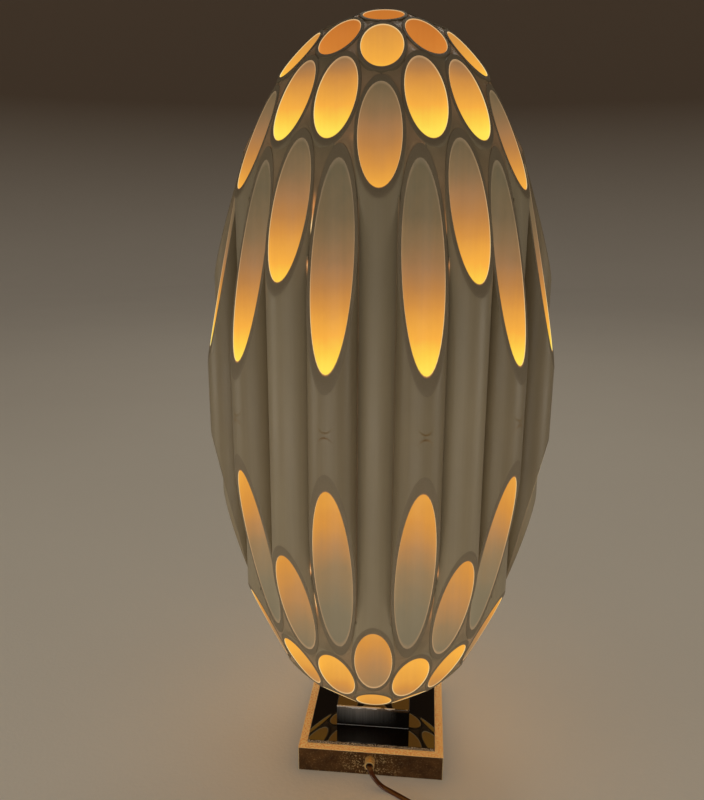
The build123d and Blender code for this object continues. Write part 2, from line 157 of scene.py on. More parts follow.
def surface_grain():
    """Fine grain, long streaks and broad blotches over a surface, as three values from 0 to 1."""
    tree, given, out = group(
        "surface_grain", {"Grain Size": 0.001, "Streak Size": 0.004, "Blotch Size": 0.05},
        ["Grain", "Streak", "Blotch"])
    place = tree.nodes.new("ShaderNodeTexCoord").outputs["Object"]
    for size, output, squeeze in (("Grain Size", "Grain", 1), ("Streak Size", "Streak", 0.03),
                                  ("Blotch Size", "Blotch", 1)):
        noise = tree.nodes.new("ShaderNodeTexNoise")
        noise.inputs["Detail"].default_value = 4.0
        squeezed = tree.nodes.new("ShaderNodeMapping")
        squeezed.inputs["Scale"].default_value = (1, 1, squeeze)
        density = tree.nodes.new("ShaderNodeMath")
        density.operation = "DIVIDE"
        density.inputs[0].default_value = 1.0
        tree.links.new(given.outputs[size], density.inputs[1])
        tree.links.new(place, squeezed.inputs["Vector"])
        tree.links.new(squeezed.outputs[0], noise.inputs["Vector"])
        tree.links.new(density.outputs[0], noise.inputs["Scale"])
        stretch = tree.nodes.new("ShaderNodeMapRange")
        stretch.inputs["From Min"].default_value = 0.3
        stretch.inputs["From Max"].default_value = 0.7
        tree.links.new(noise.outputs["Fac"], stretch.inputs["Value"])
        tree.links.new(stretch.outputs[0], out.inputs[output])
    return tree


def edge_wear():
    """Where a piece's edges are rubbed, from 0 on its flats to 1 on its arrises."""
    tree, given, out = group("edge_wear", {"Width": 0.001, "Raggedness": 0.5}, ["Worn"])
    rounded = tree.nodes.new("ShaderNodeBevel")
    rounded.samples = 6
    tree.links.new(given.outputs["Width"], rounded.inputs["Radius"])
    facing = tree.nodes.new("ShaderNodeVectorMath")
    facing.operation = "DOT_PRODUCT"
    plain = tree.nodes.new("ShaderNodeNewGeometry")
    tree.links.new(rounded.outputs[0], facing.inputs[0])
    tree.links.new(plain.outputs["Normal"], facing.inputs[1])
    noise = tree.nodes.new("ShaderNodeTexNoise")
    noise.inputs["Scale"].default_value = 260.0
    noise.inputs["Detail"].default_value = 6.0
    tree.links.new(tree.nodes.new("ShaderNodeTexCoord").outputs["Object"], noise.inputs["Vector"])
    worn = tree.nodes.new("ShaderNodeMapRange")
    worn.inputs["From Min"].default_value = 0.99
    worn.inputs["From Max"].default_value = 0.84
    tree.links.new(facing.outputs["Value"], worn.inputs["Value"])
    patchy = tree.nodes.new("ShaderNodeMath")
    patchy.operation = "MULTIPLY_ADD"
    tree.links.new(noise.outputs["Fac"], patchy.inputs[0])
    tree.links.new(given.outputs["Raggedness"], patchy.inputs[1])
    patchy.inputs[2].default_value = 0.5
    both = tree.nodes.new("ShaderNodeMath")
    both.operation = "MULTIPLY"
    both.use_clamp = True
    tree.links.new(worn.outputs[0], both.inputs[0])
    tree.links.new(patchy.outputs[0], both.inputs[1])
    tree.links.new(both.outputs[0], out.inputs["Worn"])
    return tree


GRAIN = surface_grain()
WEAR = edge_wear()


def place_group(recipe, tree, **values):
    """Puts a node group into a material with its own values."""
    made = recipe.tree.nodes.new("ShaderNodeGroup")
    made.node_tree = tree
    for key, value in values.items():
        recipe.feed(made.inputs[key.replace("_", " ")], value)
    return made.outputs


def board_paint():
    """Flat wall paint, rolled, a little uneven, with a faint glow, and painted shade that makes it darker
    and browner up the bowl's wall.
    """
    recipe = Recipe("board_paint")
    grain = place_group(recipe, GRAIN, Grain_Size=0.004, Streak_Size=0.2, Blotch_Size=0.9)
    colour = recipe.blend(grain["Blotch"], tint(226, 218, 204), tint(233, 226, 212))
    # painted shade: up the bowl's wall the paint turns darker and browner and its glow dims
    up = recipe.math("MULTIPLY", recipe.place("Z"), 0.7, clamp=True)
    colour = recipe.blend(up, colour, tint(150, 130, 110))
    light = recipe.blend(up, tint(233, 220, 200), tint(120, 104, 88))
    return recipe.finish(colour, 0.75, height=grain["Grain"], depth=0.0002,
                         Emission_Color=light, Emission_Strength=0.12)


def backdrop():
    """A bowl: flat in the middle, sweeping up into a wall all round."""
    flat, bend, wall = 4.6, 2.6, 7.5
    outline = [(flat * step / 6, 0.0) for step in range(7)]
    outline += [(flat + bend * math.sin(a), bend * (1 - math.cos(a)))
                for a in (math.radians(90 * step / 16) for step in range(1, 17))]
    outline.append((flat + bend, wall))
    mesh = bpy.data.meshes.new("floor_bowl")
    spokes = 96
    points = [(r * math.cos(2 * math.pi * s / spokes), r * math.sin(2 * math.pi * s / spokes), z)
              for r, z in outline[1:] for s in range(spokes)]
    faces = [[(k + 1) * spokes + s, (k + 1) * spokes + (s + 1) % spokes,
              k * spokes + (s + 1) % spokes, k * spokes + s]
             for k in range(len(outline) - 2) for s in range(spokes)]
    faces.append(list(range(spokes)))
    mesh.from_pydata(points, [], faces)
    mesh.materials.append(board_paint())
    for face in mesh.polygons:
        face.use_smooth = True
    made = bpy.data.objects.new("floor_bowl", mesh)
    scene.collection.objects.link(made)
    return made


backdrop()
world = bpy.data.worlds.new("room_light")
scene.world = world
world.use_nodes = True
world.node_tree.nodes["Background"].inputs["Color"].default_value = (1.0, 0.93, 0.82, 1)
world.node_tree.nodes["Background"].inputs["Strength"].default_value = 0.04


def soft_panel(name, place, aim, size, power):
    """A wide soft panel aimed at a point."""
    data = bpy.data.lights.new(name, "AREA")
    data.shape = "RECTANGLE"
    data.size, data.size_y = size
    data.energy = power
    data.color = (1.0, 0.93, 0.80)
    data.spread = math.radians(160)
    made = bpy.data.objects.new(name, data)
    scene.collection.objects.link(made)
    made.location = place
    made.rotation_euler = (Vector(aim) - Vector(place)).to_track_quat("-Z", "Y").to_euler()


WAIST = (0, 0, 0.25)
soft_panel("front_panel", (-0.15, -1.05, 0.14), WAIST, (1.0, 0.2), 1.65)
soft_panel("left_panel", (-1.3, -0.35, 0.16), WAIST, (0.6, 0.2), 1.35)
soft_panel("right_panel", (1.3, -0.30, 0.16), WAIST, (0.6, 0.2), 1.35)
soft_panel("back_panel", (0.2, 1.5, 2.6), WAIST, (1.6, 1.0), 6)
soft_panel("ceiling_panel", (0.0, 0.2, 3.2), (0, 0, 0), (2.6, 2.6), 4.6)


# ---- the bundle of tubes ----
# Extruded white styrene tube, 1 1/2 inch outside and 1 1/4 inside, glued side by side in rings
# and mitred at both ends to the curve of an egg; the seven at the top's middle lift out.
TUBE_RADIUS = 0.01905
BORE_RADIUS = 0.015875
PITCH = 0.0384
ROW_STEP = PITCH * math.sin(math.radians(60))
EGG_PLACE = Matrix.Translation((0, 0, 0.3724)) @ Matrix.Rotation(math.radians(2.42), 4, "Z")
CAVITY_FLOOR = -0.150
CAVITY_ROOF = 0.165
# ring by squared distance: half height, mitre angle, light down the top mouth, light down the bottom mouth
RINGS = {
    0: (0.3200, 0.0, (0.50, 0.54, 0.56, 0.58, 0.62), (0.62, 0.62, 0.60, 0.58, 0.56)),
    1: (0.3115, 23.5, (0.50, 0.54, 0.56, 0.58, 0.62), (0.62, 0.62, 0.60, 0.58, 0.56)),
    3: (0.2920, 42.5, (0.50, 0.55, 0.58, 0.61, 0.66), (0.74, 0.72, 0.70, 0.66, 0.60)),
    4: (0.2825, 47.0, (0.58, 0.65, 0.71, 0.78, 0.90), (0.82, 0.79, 0.76, 0.69, 0.57)),
    7: (0.2440, 61.5, (0.20, 0.57, 0.74, 0.90, 1.05), (0.92, 0.84, 0.76, 0.67, 0.47)),
    9: (0.2165, 66.5, (0.04, 0.17, 0.36, 0.57, 0.78), (0.74, 0.64, 0.52, 0.40, 0.30)),
    12: (0.1630, 72.5, (0.02, 0.15, 0.39, 0.67, 0.88), (0.66, 0.56, 0.45, 0.30, 0.14)),
    13: (0.1230, 78.0, (0.00, 0.05, 0.25, 0.66, 0.95), (0.70, 0.58, 0.31, 0.15, 0.06)),
}
AROUND = 48
ARRIS = 0.0005
WALL, RIM, BORE = 0, 1, 2
END_INSETS = (0, 0.003, 0.008, 0.016, 0.030)    # rows of points close to a wall's ends
WALL_STEPS = 8
BORE_STEPS = 14
DEEP_STEPS = 7
LIT_THROUGH = {7: 0.8, 9: 1.0, 12: 0.8}         # outer rings whose walls show a little light


def lattice():
    """Close-packed places out to the last ring, as (column, row in pitches, squared distance)."""
    for column in range(-4, 5):
        for half_row in range(-8, 9):
            square = round(column * column * 0.75 + half_row * half_row / 4)
            if (half_row - column) % 2 == 0 and square in RINGS:
                yield column, half_row / 2, square


def light_at(levels, share):
    """The brightness at a share of the way down a mouth, carried on past both of its ends."""
    share = min(max(share, -0.6), 1.3) * 4
    step = min(max(int(share), 0), 3)
    return levels[step] + (levels[step + 1] - levels[step]) * (share - step)


def add_tube(bm, column, row, square, low=None, high=None):
    """One tube's walls, rims and bore, with how brightly each point is lit."""
    glow = bm.verts.layers.float["glow"]
    amber = bm.verts.layers.float["amber"]
    lip = bm.verts.layers.float["lip"]
    below = bm.verts.layers.float["below"]
    lit = bm.verts.layers.float["lit"]
    x, y = column * ROW_STEP, row * PITCH
    outward = math.atan2(y, x)
    half, mitre, top_light, bottom_light = RINGS[square]
    fall = math.tan(math.radians(mitre))
    deep = ARRIS / math.cos(math.radians(mitre))
    drop = max(fall * BORE_RADIUS, 0.012)

    def cut(radius, turn, end):
        """The height of a cut at one end (1 top, -1 bottom) of the tube."""
        if (high if end > 0 else low) is not None:
            return high if end > 0 else low
        return end * (half - fall * radius * math.cos(turn - outward))

    def shine(z):
        """Light on the bore's wall, brightest beyond the lips."""
        top = light_at(top_light, (half + drop - z) / (2 * drop)) if high is None else 9.0
        bottom = light_at(bottom_light, (-half + drop - z) / (2 * drop)) if low is None else 9.0
        if high is None and low is None:
            return top if z > 0 else bottom
        return top if high is None else bottom

    def wall_foot(turn):
        """The wall's lower end, above its arris."""
        return cut(TUBE_RADIUS, turn, -1) + (deep if sawn_low else 0)

    def wall_head(turn):
        """The wall's upper end, below its arris."""
        return cut(TUBE_RADIUS, turn, 1) - (deep if sawn_high else 0)

    sawn_low, sawn_high = low is None, high is None
    profile = [(TUBE_RADIUS, WALL, lambda t, i=inset: wall_foot(t) + i) for inset in END_INSETS]
    for step in range(1, WALL_STEPS):
        profile.append((TUBE_RADIUS, WALL, lambda t, s=step / WALL_STEPS: (
            cut(TUBE_RADIUS, t, -1) + END_INSETS[-1]) * (1 - s) + (
            cut(TUBE_RADIUS, t, 1) - END_INSETS[-1]) * s))
    for inset in reversed(END_INSETS):
        profile.append((TUBE_RADIUS, WALL, lambda t, i=inset: wall_head(t) - i))
    profile[-1] = (TUBE_RADIUS, RIM, profile[-1][2])
    middle = (TUBE_RADIUS + BORE_RADIUS) / 2
    face_radii = (TUBE_RADIUS - ARRIS, middle, BORE_RADIUS + 0.0009, BORE_RADIUS + ARRIS)
    for radius in face_radii:
        profile.append((radius, RIM, lambda t, r=radius: cut(r, t, 1)))
    profile[-1] = (profile[-1][0], BORE, profile[-1][2])
    flat_top = (half - fall * BORE_RADIUS - 0.012) if high is None else high - 0.002
    flat_low = (-half + fall * BORE_RADIUS + 0.012) if low is None else low + 0.002
    flat_low = min(flat_low, flat_top - 0.004)
    for step in range(BORE_STEPS):
        profile.append((BORE_RADIUS, BORE, lambda t, s=step / BORE_STEPS: (
            cut(BORE_RADIUS, t, 1) - (deep if sawn_high else 0)) * (1 - s) + flat_top * s))
    for step in range(DEEP_STEPS):
        profile.append((BORE_RADIUS, BORE, lambda t, s=step / DEEP_STEPS: flat_top * (1 - s) + flat_low * s))
    for step in range(BORE_STEPS + 1):
        profile.append((BORE_RADIUS, BORE, lambda t, s=step / BORE_STEPS: flat_low * (1 - s) + (
            cut(BORE_RADIUS, t, -1) + (deep if sawn_low else 0)) * s))
    for radius in reversed(face_radii):
        profile.append((radius, RIM, lambda t, r=radius: cut(r, t, -1)))

    rows = []
    upper_lip = 2 * len(END_INSETS) + WALL_STEPS - 1 + len(face_radii) - 1
    edges = (upper_lip, len(profile) - len(face_radii))
    for k, (radius, _, height) in enumerate(profile):
        ring = []
        for step in range(AROUND):
            turn = outward + 2 * math.pi * step / AROUND
            z = height(turn)
            vert = bm.verts.new(EGG_PLACE @ Vector(
                (x + radius * math.cos(turn), y + radius * math.sin(turn), z)))
            vert[glow] = shine(z)
            vert[amber] = 1.0 if square in (0, 1, 3) and z > 0 else 0.0
            sawn = sawn_high if z > 0 else sawn_low
            vert[lip] = 1.0 if k in edges and sawn else 0.0
            vert[below] = 1.0 if z < 0 else 0.0
            vert[lit] = LIT_THROUGH.get(square, 0.0)
            ring.append(vert)
        rows.append(ring)
    for k, (_, part, _) in enumerate(profile):
        ring, following = rows[k], rows[(k + 1) % len(rows)]
        for step in range(AROUND):
            after = (step + 1) % AROUND
            face = bm.faces.new((ring[step], ring[after], following[after], following[step]))
            face.material_index = part
            face.smooth = True


def styrene_wall():
    """Satin white styrene gone cream, with fine draw lines and a little dust; its colour is darker than the
    plastic, partly its age and partly painted shade of a dim room, and painted shade darkens it towards the
    top.
    """
    recipe = Recipe("styrene_wall")
    grain = place_group(recipe, GRAIN, Grain_Size=0.0008, Streak_Size=0.0022, Blotch_Size=0.06)
    # the cream below is darker than the real plastic: partly its age, partly painted shade of a dim room
    colour = recipe.blend(grain["Blotch"], tint(158, 144, 119), tint(166, 152, 125))
    colour = recipe.blend(recipe.math("MULTIPLY", grain["Streak"], 0.22), colour, tint(144, 131, 107))
    # painted shade: the walls darker towards the top of the egg
    painted_shade_towards_top = recipe.math("MULTIPLY_ADD", recipe.place("Z"), 3.2, -1.2, clamp=True)
    colour = recipe.blend(painted_shade_towards_top, colour, tint(122, 111, 89))
    rough = recipe.math("MULTIPLY_ADD", grain["Blotch"], 0.12, 0.38)
    height = recipe.math("MULTIPLY_ADD", grain["Streak"], 0.6, grain["Grain"])
    through = recipe.ramp(recipe.attribute("lit"), (0.0, tint(0, 0, 0)), (1.0, tint(48, 43, 33)))
    return recipe.finish(colour, rough, height=height, depth=0.00005,
                         Emission_Color=through, Emission_Strength=1.0)


def styrene_rim():
    """The sawn and sanded end of the tube, a matt band with light fringing the bore's edge."""
    recipe = Recipe("styrene_rim")
    grain = place_group(recipe, GRAIN, Grain_Size=0.0005, Streak_Size=0.002, Blotch_Size=0.02)
    colour = recipe.blend(grain["Grain"], tint(143, 131, 109), tint(156, 143, 121))
    colour = recipe.blend(recipe.math("MULTIPLY", grain["Blotch"], 0.4), colour, tint(136, 121, 99))
    leak = recipe.ramp(recipe.attribute("glow"), (0.3, tint(20, 10, 4)), (0.6, tint(92, 48, 18)),
                       (0.85, tint(176, 104, 44)), (1.0, tint(214, 140, 62)))
    fringe = recipe.math("POWER", recipe.attribute("lip"), 1.8)
    leak = recipe.blend(fringe, tint(4, 2, 1), leak)
    return recipe.finish(colour, 0.6, height=grain["Grain"], depth=0.00012,
                         Emission_Color=leak, Emission_Strength=1.0)


def styrene_bore():
    """The inside of the tube, glowing with the lamp's light through the plastic."""
    recipe = Recipe("styrene_bore")
    grain = place_group(recipe, GRAIN, Grain_Size=0.003, Streak_Size=0.003, Blotch_Size=0.015)
    uneven = recipe.math("MULTIPLY_ADD", grain["Blotch"], 0.03, -0.015)
    uneven = recipe.math("MULTIPLY_ADD", grain["Streak"], 0.02, uneven)
    level = recipe.math("ADD", recipe.attribute("glow"), uneven)
    light = recipe.ramp(
        level, (0.0, tint(94, 84, 62)), (0.15, tint(128, 102, 70)), (0.3, tint(160, 116, 74)),
        (0.45, tint(183, 126, 68)), (0.6, tint(210, 143, 65)), (0.8, tint(244, 172, 66)),
        (0.9, tint(249, 200, 72)), (1.0, tint(251, 224, 85)))
    deep_amber = recipe.ramp(
        level, (0.45, tint(184, 104, 38)), (0.6, tint(205, 122, 48)), (0.7, tint(216, 136, 58)))
    light = recipe.blend(recipe.attribute("amber"), light, deep_amber)
    from_table = recipe.ramp(
        level, (0.0, tint(112, 102, 80)), (0.15, tint(124, 110, 84)), (0.3, tint(146, 118, 82)),
        (0.45, tint(180, 129, 76)), (0.6, tint(210, 142, 62)), (0.8, tint(242, 172, 66)))
    light = recipe.blend(recipe.attribute("below"), light, from_table)
    fringe = recipe.ramp(level, (0.0, tint(112, 98, 76)), (0.3, tint(212, 168, 120)),
                         (0.55, tint(250, 210, 148)), (0.8, tint(255, 246, 188)))
    light = recipe.blend(recipe.attribute("lip"), light, fringe)
    return recipe.finish(tint(30, 26, 20), 0.5, height=grain["Grain"], depth=0.00003,
                         Emission_Color=light, Emission_Strength=1.0)


def link_piece(name, mesh, body, slot, *nodes):
    """Puts a finished mesh in the scene, riding a body and standing for its CAD nodes."""
    made = bpy.data.objects.new(name, mesh)
    scene.collection.objects.link(made)
    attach(made, body)
    if nodes:
        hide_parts(*nodes)
    return made


SIDES = ["front", "front_right", "back_right", "back", "back_left", "front_left"]
CORNERS = ["right_front", "right", "right_back", "left_back", "left", "left_front"]
bundle = {}
for column, row, square in lattice():
    angle = math.degrees(math.atan2(row * PITCH, column * ROW_STEP)) % 360
    if square <= 4:
        bottom = bundle.setdefault(f"bottom_tubes_ring_{square}", [])
        bottom.append((column, row, square, None, CAVITY_FLOOR))
        name = f"plug_tubes_ring_{square}" if square <= 1 else f"top_tubes_ring_{square}"
        bundle.setdefault(name, []).append((column, row, square, CAVITY_ROOF, None))
    elif square == 12:
        side = CORNERS[round((angle - 300) / 60) % 6]
        bundle.setdefault(f"corner_tube_{side}", []).append((column, row, square, None, None))
    else:
        side = SIDES[round((angle - 270) / 60) % 6]
        bundle.setdefault(f"side_tubes_{side}", []).append((column, row, square, None, None))
tube_finishes = (styrene_wall(), styrene_rim(), styrene_bore())
for node, tubes in bundle.items():
    bm = bmesh.new()
    for layer in ("glow", "amber", "lip", "below", "lit"):
        bm.verts.layers.float.new(layer)
    for place in tubes:
        add_tube(bm, *place)
    bmesh.ops.recalc_face_normals(bm, faces=bm.faces)
    mesh = bpy.data.meshes.new(node + "_styrene")
    bm.to_mesh(mesh)
    bm.free()
    for finish in tube_finishes:
        mesh.materials.append(finish)
    mesh.set_sharp_from_angle(angle=math.radians(32))
    body = "top_plug" if node.startswith("plug") else "lamp"
    link_piece(node + "_styrene", mesh, body, "tube_plastic", node)


# ---- the glue between the tubes ----
# Clear cement run down between the tubes and wiped level with their ends: three-sided plugs where
# three tubes meet, and a thin fillet down every groove on the outside, which light creeps along.
CEMENT_DEEP = 0.018
CEMENT_SUNK = 0.0011
LIFT_CLEAR = 0.0006             # the lift-out tubes' cement stands a little clear of its neighbours
CRACK_REACH = 0.0070            # how far light spreads from a joint that has shrunk open
ARC_STEPS = 8
LINE_LEAN = math.radians(12.5)  # how far round each tube a fillet reaches from where the tubes meet
LINE_DIP = 0.0004
LINE_STEPS = 40
PLACES = {(column, row): square for column, row, square in lattice()}


def cut_height(place, x, y, end):
    """The height of one tube's cut, carried on past the tube, over a point of the bundle."""
    half, mitre = RINGS[PLACES[place]][:2]
    outward = math.atan2(place[1] * PITCH, place[0] * ROW_STEP)
    run = (x - place[0] * ROW_STEP) * math.cos(outward) + (y - place[1] * PITCH) * math.sin(outward)
    return end * (half - math.tan(math.radians(mitre)) * run)


def near_mouth(place, height):
    """How far a height is within a tube's mouth, from 0 outside it to 1 at its middle."""
    half, mitre = RINGS[PLACES[place]][:2]
    reach = max(math.tan(math.radians(mitre)) * BORE_RADIUS, 0.01)
    return max(0.0, 1 - abs(abs(height) - half) / reach)


def add_cement_plug(bm, trio, end):
    """The three-sided plug of cement between three tubes, at one end of the bundle."""
    leak = bm.verts.layers.float["leak"]
    centres = [(column * ROW_STEP, row * PITCH) for column, row in trio]
    outline = []
    for k, (x, y) in enumerate(centres):
        first = math.atan2(centres[(k + 2) % 3][1] - y, centres[(k + 2) % 3][0] - x)
        last = math.atan2(centres[(k + 1) % 3][1] - y, centres[(k + 1) % 3][0] - x)
        swing = (last - first + math.pi) % (2 * math.pi) - math.pi
        clear = TUBE_RADIUS + (LIFT_CLEAR if PLACES[trio[k]] <= 1 and end > 0 else 0.0)
        for step in range(ARC_STEPS + 1):
            turn = first + swing * (0.03 + 0.94 * step / ARC_STEPS)
            outline.append((x + clear * math.cos(turn), y + clear * math.sin(turn)))
    cx = sum(x for x, _ in outline) / len(outline)
    cy = sum(y for _, y in outline) / len(outline)
    outer = sorted(trio, key=lambda place: PLACES[place])[1:]
    crack_x = sum(place[0] for place in outer) * ROW_STEP / 2
    crack_y = sum(place[1] for place in outer) * PITCH / 2
    shrunk = (0.3 if crack_x > 0 else 1.1) if min(PLACES[place] for place in outer) >= 12 else 0.0
    rings = []
    for inward, sunk in ((1.0, CEMENT_DEEP), (1.0, CEMENT_SUNK), (0.7, CEMENT_SUNK + 0.0004),
                         (0.35, CEMENT_SUNK + 0.0007)):
        ring = []
        for x, y in outline:
            px, py = cx + (x - cx) * inward, cy + (y - cy) * inward
            z = end * min(end * cut_height(place, px, py, end) for place in trio) - end * sunk
            vert = bm.verts.new(EGG_PLACE @ Vector((px, py, z)))
            crack = max(0.0, 1 - math.hypot(px - crack_x, py - crack_y) / CRACK_REACH) ** 1.5
            vert[leak] = max(near_mouth(place, z) for place in trio) * 0.26 + shrunk * crack
            ring.append(vert)
        rings.append(ring)
    for below, above in zip(rings, rings[1:]):
        for k in range(len(outline)):
            after = (k + 1) % len(outline)
            face = bm.faces.new((below[k], below[after], above[after], above[k]))
            face.smooth = True
    bm.faces.new(rings[-1]).smooth = True
    bm.faces.new(list(reversed(rings[0])))


def add_cement_line(bm, first, second, outward):
    """The fillet of cement down the outside of the groove between two neighbouring tubes."""
    leak = bm.verts.layers.float["leak"]
    ax, ay = first[0] * ROW_STEP, first[1] * PITCH
    bx, by = second[0] * ROW_STEP, second[1] * PITCH
    toward = math.atan2(by - ay, bx - ax)
    lean = LINE_LEAN * (1 if math.sin(outward - toward) > 0 else -1)
    start = (ax + TUBE_RADIUS * math.cos(toward + lean), ay + TUBE_RADIUS * math.sin(toward + lean))
    finish = (bx - TUBE_RADIUS * math.cos(toward - lean), by - TUBE_RADIUS * math.sin(toward - lean))
    inward = Vector((-math.cos(outward), -math.sin(outward)))
    strip = []
    for step in range(5):
        share = step / 4
        dip = LINE_DIP * math.sin(math.pi * share) - 0.00005
        strip.append((start[0] + (finish[0] - start[0]) * share + inward.x * dip,
                      start[1] + (finish[1] - start[1]) * share + inward.y * dip))
    top = min(cut_height(place, *strip[2], 1) for place in (first, second)) - 0.0005
    bottom = max(cut_height(place, *strip[2], -1) for place in (first, second)) + 0.0005
    rows = []
    for step in range(LINE_STEPS + 1):
        z = bottom + (top - bottom) * step / LINE_STEPS
        row = []
        for x, y in strip:
            vert = bm.verts.new(EGG_PLACE @ Vector((x, y, z)))
            near_first, near_second = near_mouth(first, z), near_mouth(second, z)
            fade = min(1.0, step, LINE_STEPS - step)
            vert[leak] = fade * (0.16 + 2.2 * min(near_first, near_second))
            row.append(vert)
        rows.append(row)
    for below, above in zip(rows, rows[1:]):
        for k in range(len(strip) - 1):
            bm.faces.new((below[k], below[k + 1], above[k + 1], above[k])).smooth = True


def cement():
    """Clear solvent cement gone straw-coloured, glossy, with light creeping through it."""
    recipe = Recipe("solvent_cement")
    grain = place_group(recipe, GRAIN, Grain_Size=0.0006, Streak_Size=0.006, Blotch_Size=0.018)
    colour = recipe.blend(grain["Blotch"], tint(150, 138, 114), tint(166, 152, 126))
    uneven = recipe.math("MULTIPLY_ADD", grain["Blotch"], 0.6, 0.6)
    level = recipe.math("MULTIPLY", recipe.attribute("leak"), uneven)
    light = recipe.ramp(level, (0.0, tint(0, 0, 0)), (0.25, tint(72, 46, 26)), (0.55, tint(190, 120, 60)),
                        (1.0, tint(255, 214, 150)))
    return recipe.finish(colour, 0.32, height=grain["Grain"], depth=0.00008,
                         Emission_Color=light, Emission_Strength=1.0)


NEAR = [(0, 1), (1, 0.5), (1, -0.5), (0, -1), (-1, -0.5), (-1, 0.5)]
trios = []
for column, row in PLACES:
    for k in (0, 1):
        trio = [(column, row)] + [(column + NEAR[n][0], row + NEAR[n][1]) for n in (k, k + 1)]
        if all(place in PLACES for place in trio):
            trios.append(trio)
cement_finish = cement()
for name, body, node in (("cement_in_bundle", "lamp", "lamp"), ("cement_in_plug", "top_plug", "plug")):
    bm = bmesh.new()
    bm.verts.layers.float.new("leak")
    for trio in trios:
        lifts_out = all(PLACES[place] <= 1 for place in trio)
        if lifts_out == (node == "plug"):
            add_cement_plug(bm, trio, 1)
        if node == "lamp":
            add_cement_plug(bm, trio, -1)
    if node == "lamp":
        for place in PLACES:
            for k, (over, up) in enumerate(NEAR[:3]):
                other = (place[0] + over, place[1] + up)
                if other not in PLACES:
                    continue
                for n in (k - 1, k + 1):
                    third = (place[0] + NEAR[n][0], place[1] + NEAR[n][1])
                    if third not in PLACES:
                        outward = math.atan2(
                            third[1] * PITCH - (place[1] + other[1]) * PITCH / 2,
                            third[0] * ROW_STEP - (place[0] + other[0]) * ROW_STEP / 2)
                        add_cement_line(bm, place, other, outward)
    mesh = bpy.data.meshes.new(name)
    bmesh.ops.recalc_face_normals(bm, faces=bm.faces)
    bm.to_mesh(mesh)
    bm.free()
    mesh.materials.append(cement_finish)
    mesh.set_sharp_from_angle(angle=math.radians(40))
    link_piece(name, mesh, body, "tube_plastic")


# ---- the base ----
# A square frame of four mitred brass bars, dark bronze on its sides, partly patina and partly painted shade,
# and pale gold on top with a painted glow, a sheet of black mirror acrylic let in on it, and a black
# lacquered block under the egg.
def dress(material, *nodes):
    """Gives CAD nodes a finish."""
    for name in nodes:
        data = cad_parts[name].data
        data.materials.clear()
        data.materials.append(material)


def facing_up(recipe):
    """From 0 on upright faces to 1 on level ones."""
    normal = recipe.node("ShaderNodeNewGeometry").outputs["Normal"]
    parts = recipe.node("ShaderNodeSeparateXYZ", Vector=normal)
    return recipe.math("MULTIPLY", parts.outputs["Z"], 1.0, clamp=True)


def frame_brass():
    """Solid brass bar: speckled pale gold on top with a painted glow of the lamp's light, and bronze down
    its sides, partly patina and partly painted shade; painted glints on the bronze and a painted highlight
    on its rubbed edges.
    """
    recipe = Recipe("frame_brass")
    grain = place_group(recipe, GRAIN, Grain_Size=0.0011, Streak_Size=0.0018, Blotch_Size=0.012)
    fine = recipe.node("ShaderNodeTexNoise", Scale=700.0, Detail=5.0,
                       Vector=recipe.node("ShaderNodeTexCoord").outputs["Object"]).outputs["Fac"]
    speck = recipe.ramp(fine, (0.44, 0.0), (0.56, 1.0))
    # lit and shaded copies of the brass: the top's pale gold is painted light, the sides' bronze partly
    # patina, partly painted shade
    gold = recipe.blend(speck, tint(214, 168, 98), tint(255, 232, 176))
    gold = recipe.blend(recipe.math("MULTIPLY", grain["Blotch"], 0.5), gold, tint(232, 186, 116))
    bronze = recipe.blend(grain["Blotch"], tint(72, 48, 27), tint(112, 80, 46))
    near_bushing = recipe.ramp(recipe.math("ABSOLUTE", recipe.place("X")), (0.010, 1.0), (0.034, 0.1))
    scuffed = recipe.math("MULTIPLY", recipe.ramp(fine, (0.54, 0.0), (0.63, 0.9)), near_bushing)
    bronze = recipe.blend(scuffed, bronze, tint(214, 190, 140))
    # painted glints: bright flecks scattered over the bronze
    painted_glint = recipe.ramp(fine, (0.66, 0.0), (0.72, 0.7))
    bronze = recipe.blend(recipe.math("MULTIPLY", painted_glint, grain["Blotch"]), bronze, tint(206, 176, 116))
    colour = recipe.blend(facing_up(recipe), bronze, gold)
    # rubbed edges, worn bright, also serve as a painted highlight along the front top edge
    wear = place_group(recipe, WEAR, Width=0.0011, Raggedness=1.2)
    colour = recipe.blend(wear["Worn"], colour, tint(255, 240, 200))
    rough = recipe.math("MULTIPLY_ADD", grain["Grain"], 0.25, 0.30)
    metallic = recipe.math("MULTIPLY_ADD", facing_up(recipe), -0.5, 0.7)
    # painted glow: the lamp's light on the top faces, given as emission
    glow = recipe.blend(speck, tint(96, 66, 34), tint(150, 110, 66))
    glow = recipe.blend(facing_up(recipe), tint(0, 0, 0), glow)
    return recipe.finish(colour, rough, metallic, height=grain["Grain"], depth=0.0001,
                         Emission_Color=glow, Emission_Strength=1.0)


def mirror_acrylic():
    """Black acrylic sheet, mirror bright, with a little dust and painted glints along its front edge."""
    recipe = Recipe("mirror_acrylic")
    grain = place_group(recipe, GRAIN, Grain_Size=0.0007, Streak_Size=0.002, Blotch_Size=0.03)
    dust = recipe.ramp(grain["Grain"], (0.86, 0.0), (1.0, 0.35))
    # painted highlight: bright dots along the sheet's front edge
    front_edge = recipe.math("LESS_THAN", recipe.place("Y"), -0.0621)
    painted_edge_glints = recipe.math("MULTIPLY", recipe.ramp(grain["Grain"], (0.58, 0.0), (0.68, 1.0)), front_edge)
    colour = recipe.blend(dust, tint(17, 14, 12), tint(92, 76, 58))
    colour = recipe.blend(painted_edge_glints, colour, tint(236, 226, 206))
    rough = recipe.math("MULTIPLY_ADD", grain["Blotch"], 0.03, 0.015)
    return recipe.finish(colour, rough, IOR=1.65, Specular_IOR_Level=0.6)


